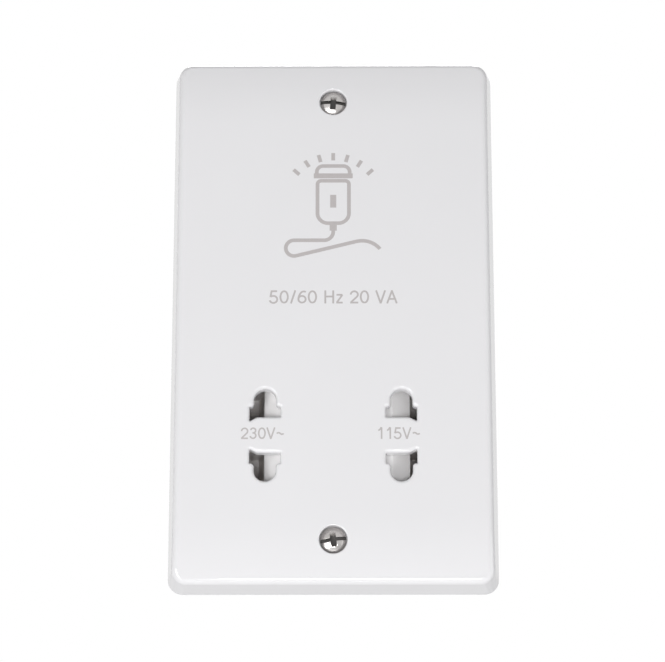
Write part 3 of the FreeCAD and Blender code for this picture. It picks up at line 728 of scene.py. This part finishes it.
# Each sign is a width and its strokes, for a height of 1: start, heading, moves.
signs = {
    "0": (0.72, [((0.62, 0.50), 90.0, oval)]),
    "1": (0.72, [((0.44, 0.00), 90.0, [("run", 1.0)]), ((0.17, 0.74), 20.0, [("bend", 0.35, 63.0)])]),
    "2": (0.72, [((0.11, 0.68), 90.0, [("bend", 0.25, -225.0), ("run", 0.58)]),
                 ((0.07, 0.06), 0.0, [("run", 0.57)])]),
    "3": (0.72, [((0.15, 0.77), 80.0, [("bend", 0.205, -260.0), ("run", 0.06)]),
                 ((0.34, 0.53), 0.0, [("bend", 0.235, -260.0)])]),
    "5": (0.72, [((0.16, 0.94), 0.0, [("run", 0.42)]), ((0.20, 1.00), 260.0, [("run", 0.52)]),
                 ((0.13, 0.50), 45.0, [("bend", 0.27, -300.0)])]),
    "6": (0.72, [((0.60, 0.32), 90.0, [("bend", 0.255, 360.0)]),
                 ((0.09, 0.32), 90.0, [("bend", 0.80, -40.0), ("bend", 0.25, -85.0)])]),
    "V": (0.78, [((0.06, 1.00), 288.0, [("run", 1.05)]), ((0.70, 1.00), 252.0, [("run", 1.05)])]),
    "A": (0.80, [((0.06, 0.00), 70.5, [("run", 1.06)]), ((0.74, 0.00), 109.5, [("run", 1.06)]),
                 ((0.20, 0.34), 0.0, [("run", 0.40)])]),
    "H": (0.86, [((0.15, 0.00), 90.0, [("run", 1.0)]), ((0.71, 0.00), 90.0, [("run", 1.0)]),
                 ((0.15, 0.53), 0.0, [("run", 0.56)])]),
    "z": (0.58, [((0.08, 0.66), 0.0, [("run", 0.42)]), ((0.06, 0.06), 0.0, [("run", 0.46)]),
                 ((0.10, 0.06), 56.5, [("run", 0.72)])]),
    "/": (0.56, [((0.12, 0.00), 73.0, [("run", 1.05)])]),
    "~": (0.76, [((0.10, 0.47), 55.0, [("bend", 0.17, -95.0), ("run", 0.08), ("bend", 0.17, 95.0)])]),
    "L": (0.66, [((0.15, 0.00), 90.0, [("run", 1.0)]), ((0.09, 0.06), 0.0, [("run", 0.50)])]),
    "N": (0.86, [((0.15, 0.00), 90.0, [("run", 1.0)]), ((0.71, 0.00), 90.0, [("run", 1.0)]),
                 ((0.15, 0.97), 301.0, [("run", 1.09)])]),
    " ": (0.40, []),
}

# Lines of the shaver sign in millimetres, from the plate's middle: width where it isn't the usual one,
# start, heading, moves.
shaver_lines = {
    "body": (None, (0.0, 25.6), 0.0, [
        ("run", 1.4), ("bend", 2.8, 90.0), ("run", 8.2), ("bend", 1.0, 90.0), ("run", 6.4),
        ("bend", 1.0, 90.0), ("run", 8.2), ("bend", 2.8, 90.0), ("run", 1.4)]),
    "band": (1.4, (-5.2, 39.0), 0.0, [("run", 10.4)]),
    "cap": (None, (-4.4, 39.4), 90.0, [
        ("run", 0.7), ("bend", 1.7, -90.0), ("run", 5.4), ("bend", 1.7, -90.0), ("run", 0.7)]),
    "switch": (1.6, (0.0, 30.0), 90.0, [("run", 3.6)]),
    "collar": (1.9, (0.0, 25.4), -90.0, [("run", 1.9)]),
    "cord": (None, (0.0, 23.8), -90.0, [
        ("run", 0.6), ("bend", 2.4, -90.0), ("run", 8.0), ("bend", 2.2, 194.0), ("run", 16.6),
        ("bend", 6.0, -66.0)]),
}
# Rays over its cap, in millimetres and degrees
ray_count = 7
ray_first = 42.0
ray_step = 16.0
ray_middle = 31.2
ray_reach = 12.2
ray_length = 2.1


def lettering(text, weight, height, left, bottom, width):
    """Strokes of a line of signs, fitted to a height and a width."""
    across = width / sum(signs[sign][0] for sign in text)
    lines = []
    for sign in text:
        advance, drawn = signs[sign]
        for start, heading, moves in drawn:
            spot = (left / across + start[0], bottom / height + start[1])
            line = stroke(weight, spot, heading, moves)
            line.scale = (across, height, 1.0)
            apply_place(line)
            lines.append(line)
        left += advance * across
    return lines


def tapper(length_below, pitch):
    """Self-tapping screw standing on y = 0: round head with a cross recess, coarse thread below."""
    head = round_head(tapper_radius, tapper_edge, tapper_dome, 0.0, 1)
    arms = []
    for about in (0.0, math.pi / 2):
        arm = tapered_block(tapper_recess, tapper_height, -1, tapper_recess_taper)
        arm.rotation_euler = (0, about, 0)
        apply_place(arm)
        arms.append(arm)
    cut(head, *arms)
    soft_edges(head, tapper_bevel)
    fuse(head, threaded_rod(tapper_thread_radius, small_thread_depth, pitch, -length_below, thread_overlap))
    clean(head)
    return head


def area_lamp(name, watts, size, place, aim):
    """Soft lamp of a width and a height, aimed at a point."""
    data = bpy.data.lights.new(name, "AREA")
    data.energy = watts
    data.shape = "RECTANGLE"
    data.size, data.size_y = size
    lamp = bpy.data.objects.new(name, data)
    bpy.context.collection.objects.link(lamp)
    lamp.location = place
    lamp.rotation_euler = (Vector(aim) - Vector(place)).to_track_quat("-Z", "Y").to_euler()
    lamp.visible_camera = False


def towards(azimuth, elevation):
    """Direction seen from the socket: azimuth to the right of its front, elevation up."""
    flat = math.cos(elevation)
    return Vector((math.sin(azimuth) * flat, -math.cos(azimuth) * flat, math.sin(elevation)))


class SOCKET_OT_stage(bpy.types.Operator):
    """Sets up floor, light and camera"""
    bl_idname = "shaver_socket.stage"
    bl_label = "Stage"

    def execute(self, context):
        stage = context.scene.socket_stage
        context.scene.view_settings.view_transform = "Standard"
        world = bpy.data.worlds.new("white_studio")
        context.scene.world = world
        sheet = Sheet(world)
        light = stage.ambient + (1.0 - stage.ambient) * sheet.background()
        back = sheet.node("ShaderNodeBackground", {}, {"Color": (1.0, 1.0, 1.0), "Strength": light})
        sheet.node("ShaderNodeOutputWorld", {}, {"Surface": back})

        begin()
        bpy.ops.mesh.primitive_plane_add(size=floor_size, location=(0, 0, floor_level))
        floor = context.object
        floor.name = "floor"
        floor.data.materials.append(pale_floor("pale_floor", stage.floor_lift))

        aim = Vector(stage.target)
        for name, (azimuth, elevation, distance, size) in lamp_places.items():
            place = towards(math.radians(azimuth), math.radians(elevation)) * distance
            area_lamp(name + "_lamp", getattr(stage, name), size, place, aim)

        data = bpy.data.cameras.new("photo_camera")
        data.lens = stage.lens
        data.sensor_width = sensor_width
        data.clip_start = 0.01
        camera = bpy.data.objects.new("photo_camera", data)
        context.collection.objects.link(camera)
        camera.location = aim + towards(stage.azimuth, stage.elevation) * stage.distance
        camera.rotation_euler = (aim - camera.location).to_track_quat("-Z", "Y").to_euler()
        context.scene.camera = camera
        return {"FINISHED"}


class SOCKET_OT_front_plate(bpy.types.Operator):
    """Gives the front plate its polished white"""
    bl_idname = "shaver_socket.front_plate"
    bl_label = "Front plate"

    def execute(self, context):
        looks = context.scene.socket_plate
        dress(gloss_moulding("gloss_white_plate", tuple(looks.white), looks.gloss), "front_plate")
        return {"FINISHED"}


class SOCKET_OT_markings(bpy.types.Operator):
    """Prints the voltage of each outlet between its openings, and the rating above them"""
    bl_idname = "shaver_socket.markings"
    bl_label = "Printed markings"

    def execute(self, context):
        looks = context.scene.socket_plate
        ink = printed_ink("grey_marking_ink", tuple(looks.ink))
        volts = (looks.volt_height, volt_foot, looks.volt_width)
        rating = (looks.rating_height, rating_foot, looks.rating_width)
        lines = [
            ("marking_left_voltage", looks.left_text, left_volt_start, volts),
            ("marking_right_voltage", looks.right_text, right_volt_start, volts),
            ("marking_rating", looks.rating_text, -looks.rating_width / 2, rating),
        ]
        for name, text, left, (height, foot, width) in lines:
            strokes = lettering(text, looks.weight, height, left, foot, width)
            hand_over(print_on(strokes, looks.ink_film, face_y), name, ink)
        return {"FINISHED"}


class SOCKET_OT_symbol(bpy.types.Operator):
    """Prints a plain sign of a corded shaver on the plate"""
    bl_idname = "shaver_socket.symbol"
    bl_label = "Shaver sign"

    def execute(self, context):
        looks = context.scene.socket_plate
        line = looks.symbol_line
        strokes = []
        for width, (x, z), heading, moves in shaver_lines.values():
            scaled = [(kind, size * mm, *bend) for kind, size, *bend in moves]
            strokes.append(stroke(width * mm if width else line, (x * mm, z * mm), heading, scaled))
        for step in range(ray_count):
            heading = ray_first + ray_step * step
            angle = math.radians(heading)
            near = Vector((math.cos(angle), math.sin(angle))) * ray_reach * mm + Vector((0, ray_middle * mm))
            strokes.append(stroke(line, near, heading, [("run", ray_length * mm)]))
        ink = printed_ink("grey_sign_ink", tuple(looks.ink))
        hand_over(print_on(strokes, looks.ink_film, face_y), "shaver_sign", ink)
        return {"FINISHED"}


class SOCKET_OT_fixing_screws(bpy.types.Operator):
    """Models the two nickel fixing screws with slot, cross and thread"""
    bl_idname = "shaver_socket.fixing_screws"
    bl_label = "Fixing screws"

    def execute(self, context):
        sizes = context.scene.socket_screws
        height = fixing_high.z - fixing_radius
        crown = fixing_low.y
        seat = crown + fixing_head
        tint = tuple(context.scene.socket_metals.nickel)
        metal = plated("nickel_plating", tint, 0.20)
        # Nickel darkened to 0.14 of its tint: painted shade for the inside of the slot and the cross
        painted_slot_shade = plated("nickel_in_slots", shade(tint, 0.14), 0.45)
        head = round_head(fixing_radius, fixing_edge, fixing_dome, seat, -1)
        head.data.materials.append(metal)
        slot = block((3 * fixing_radius, fixing_slot_depth, sizes.slot), (0, crown, 0))
        cross = tapered_block((sizes.cross, fixing_cross_depth, fixing_cross_length), crown, 1,
                              fixing_cross_taper)
        for cutter in (slot, cross):
            cutter.data.materials.append(painted_slot_shade)
        cross.data.materials.append(metal)
        # The sloping ends of the cross still catch the light and keep the plain nickel; the slot, the floor
        # and the long walls of the cross get the darkened nickel, which is painted shade in the recess
        for face in cross.data.polygons:
            face.material_index = 1 if abs(face.normal.z) > 0.5 else 0
        cut(head, slot, cross)
        soft_edges(head, fixing_bevel)
        shank = threaded_rod(fixing_thread_radius, sizes.thread, sizes.pitch, fixing_thread_start,
                             fixing_high.y)
        neck = round_head(fixing_neck_radius, fixing_neck_end - seat, fixing_neck_overlap,
                          seat - fixing_neck_overlap, 1, rings=2)
        for rod in (neck, shank):
            rod.data.materials.append(metal)
        fuse(head, neck, shank)
        clean(head)
        places = []
        for level, angle in ((height, sizes.upper_turn), (-height, sizes.lower_turn)):
            places.append(Matrix.Translation((0, 0, level)) @ Matrix.Rotation(-angle, 4, "Y"))
        hand_over(copies_of(head, places), "fixing_screw_pair", None, "fixing_screws")
        return {"FINISHED"}


class SOCKET_OT_self_tappers(bpy.types.Operator):
    """Models the self-tapping screws of the housing and of the contact carrier"""
    bl_idname = "shaver_socket.self_tappers"
    bl_label = "Self-tapping screws"

    def execute(self, context):
        pitch = context.scene.socket_screws.tapper_pitch
        metal = plated("zinc_plating_tappers", tuple(context.scene.socket_metals.zinc), 0.30)
        common, by_side, by_row = tapper_turns
        sets = [("housing_tappers", "housing_screws", housing_screw_low, housing_screw_high, (-1, 1)),
                ("carrier_tappers", "carrier_screws", carrier_screw_low, carrier_screw_high, (1,))]
        for name, node, low, high, rows in sets:
            seat = high.y - tapper_height
            model = tapper(seat - low.y, pitch)
            places = []
            for side in (-1, 1):
                for row in rows:
                    x = side * (high.x - tapper_radius)
                    z = row * (high.z - tapper_radius) if len(rows) == 2 else (low.z + high.z) / 2
                    about = Matrix.Rotation(common + by_side * side + by_row * row, 4, "Y")
                    places.append(Matrix.Translation((x, seat, z)) @ about)
            hand_over(copies_of(model, places), name, metal, node)
        return {"FINISHED"}


class SOCKET_OT_terminals(bpy.types.Operator):
    """Finishes the brass terminals and models their clamp screws"""
    bl_idname = "shaver_socket.terminals"
    bl_label = "Terminals"

    def execute(self, context):
        metals = context.scene.socket_metals
        dress(turned_brass("terminal_brass", tuple(metals.brass)),
              "terminal_live", "terminal_earth", "terminal_neutral")
        pitch = context.scene.socket_screws.clamp_pitch
        seat = clamp_high.y - clamp_height
        model = round_head(clamp_radius, clamp_edge, clamp_dome, seat, 1, rings=3)
        cut(model, block((4 * clamp_radius, clamp_slot_depth, clamp_slot), (0, clamp_high.y, 0)))
        soft_edges(model, clamp_bevel)
        fuse(model, threaded_rod(clamp_thread_radius, small_thread_depth, pitch, clamp_low.y,
                                 seat + thread_overlap))
        clean(model)
        level = (clamp_low.z + clamp_high.z) / 2
        places = []
        for side, angle in zip((-1, 0, 1), clamp_turns):
            place = Matrix.Translation((side * (clamp_high.x - clamp_radius), 0, level))
            places.append(place @ Matrix.Rotation(angle, 4, "Y"))
        metal = plated("zinc_plating_clamps", tuple(metals.zinc), 0.28)
        hand_over(copies_of(model, places), "terminal_clamp_screws", metal, "terminal_screws")
        return {"FINISHED"}


class SOCKET_OT_contacts(bpy.types.Operator):
    """Plates the spring contacts, their link and the bobbin's pins"""
    bl_idname = "shaver_socket.contacts"
    bl_label = "Contacts"

    def execute(self, context):
        tint = tuple(context.scene.socket_metals.contact)
        dress(plated("contact_plating", tint, 0.42, streak=(1.0, 1.0, 0.1)),
              "contact_230_upper", "contact_230_lower", "contact_115_upper", "contact_115_lower",
              "common_link", "bobbin_pins")
        return {"FINISHED"}


class SOCKET_OT_mouldings(bpy.types.Operator):
    """Finishes the housing, the carrier with its cover, and the interlock slider"""
    bl_idname = "shaver_socket.mouldings"
    bl_label = "Inner mouldings"

    def execute(self, context):
        looks = context.scene.socket_inner
        dress(grained_moulding("housing_moulding", tuple(looks.housing), 0.42), "rear_housing")
        dress(grained_moulding("carrier_moulding", tuple(looks.carrier), 0.46),
              "contact_carrier", "contact_cover")
        dress(grained_moulding("slider_moulding", tuple(looks.slider), 0.5, grain=3200.0), "interlock_slider")
        return {"FINISHED"}


class SOCKET_OT_transformer(bpy.types.Operator):
    """Finishes the core, bobbin, windings, tape and thermal cut-out"""
    bl_idname = "shaver_socket.transformer"
    bl_label = "Transformer"

    def execute(self, context):
        looks = context.scene.socket_inner
        metals = context.scene.socket_metals
        dress(laminated("core_laminations", tuple(metals.steel)), "core_e_stack", "core_i_stack")
        dress(wound_wire("enamelled_windings", tuple(metals.copper)), "primary_winding", "secondary_winding")
        dress(film_tape("winding_tape_film", tuple(looks.tape)), "winding_tape")
        dress(grained_moulding("bobbin_moulding", tuple(looks.bobbin), 0.45), "bobbin")
        dress(grained_moulding("cutout_case", tuple(looks.cutout), 0.5), "thermal_cutout")
        return {"FINISHED"}


class SOCKET_OT_leads(bpy.types.Operator):
    """Colours the insulation of the leads"""
    bl_idname = "shaver_socket.leads"
    bl_label = "Leads"

    def execute(self, context):
        coats = {
            "brown": ("live_lead", "cutout_lead"),
            "blue": ("neutral_lead",),
            "green": ("earth_lead",),
            "white": ("secondary_230_lead",),
            "red": ("secondary_115_lead",),
            "black": ("secondary_common_lead",),
        }
        for name, leads in coats.items():
            stripe = tuple(context.scene.socket_inner.stripe) if name == "green" else None
            dress(insulation("insulation_" + name, slot_colours["lead_" + name], stripe), *leads)
        return {"FINISHED"}


class SOCKET_OT_terminal_letters(bpy.types.Operator):
    """Prints the conductor letters and the earth sign over the terminals at the back"""
    bl_idname = "shaver_socket.terminal_letters"
    bl_label = "Terminal letters"

    def execute(self, context):
        ink = printed_ink("black_terminal_ink", terminal_ink)
        looks = context.scene.socket_plate
        height = terminal_sign_height
        foot = terminal_sign_foot
        line = looks.weight * height
        drawn = {}
        for name, letter, x in (("live", "L", terminal_spacing), ("neutral", "N", -terminal_spacing)):
            width = signs[letter][0] * height
            drawn[name] = lettering(letter, looks.weight, height, x - width / 2, foot, width)
        bars = [stroke(line, (0, foot + height), -90.0, [("run", earth_stem)])]
        for step, reach in enumerate(earth_bars):
            start = (-reach, foot + earth_stem - earth_step * step)
            bars.append(stroke(line, start, 0.0, [("run", 2 * reach)]))
        drawn["earth"] = bars
        for name, strokes in drawn.items():
            mark = print_on(strokes, looks.ink_film, rear_y, math.pi)
            hand_over(mark, "terminal_sign_" + name, ink)
        return {"FINISHED"}


class SOCKET_PT_looks(bpy.types.Panel):
    """Lists the steps and their settings"""
    bl_label = "Shaver socket"
    bl_idname = "SOCKET_PT_looks"
    bl_space_type = "VIEW_3D"
    bl_region_type = "UI"
    bl_category = "Socket"

    def draw(self, context):
        for operator in operators:
            self.layout.operator(operator.bl_idname)
        for name in groups:
            settings = getattr(context.scene, name)
            for key in settings.__annotations__:
                self.layout.prop(settings, key)


groups = {
    "socket_plate": PlateLooks,
    "socket_inner": InnerLooks,
    "socket_metals": MetalLooks,
    "socket_screws": ScrewSizes,
    "socket_stage": StageSettings,
}
operators = (
    SOCKET_OT_stage,
    SOCKET_OT_front_plate,
    SOCKET_OT_markings,
    SOCKET_OT_symbol,
    SOCKET_OT_fixing_screws,
    SOCKET_OT_contacts,
    SOCKET_OT_mouldings,
    SOCKET_OT_self_tappers,
    SOCKET_OT_terminals,
    SOCKET_OT_terminal_letters,
    SOCKET_OT_transformer,
    SOCKET_OT_leads,
)


def register():
    """Registers the settings, the steps and the panel."""
    for name, group in groups.items():
        bpy.utils.register_class(group)
        setattr(bpy.types.Scene, name, PointerProperty(type=group))
    for operator in operators:
        bpy.utils.register_class(operator)
    bpy.utils.register_class(SOCKET_PT_looks)


def unregister():
    """Takes them out again."""
    bpy.utils.unregister_class(SOCKET_PT_looks)
    for operator in reversed(operators):
        bpy.utils.unregister_class(operator)
    for name, group in groups.items():
        delattr(bpy.types.Scene, name)
        bpy.utils.unregister_class(group)


def main():
    """Runs every step."""
    register()
    for operator in operators:
        space, name = operator.bl_idname.split(".")
        getattr(getattr(bpy.ops, space), name)()


if __name__ == "__main__":
    main()
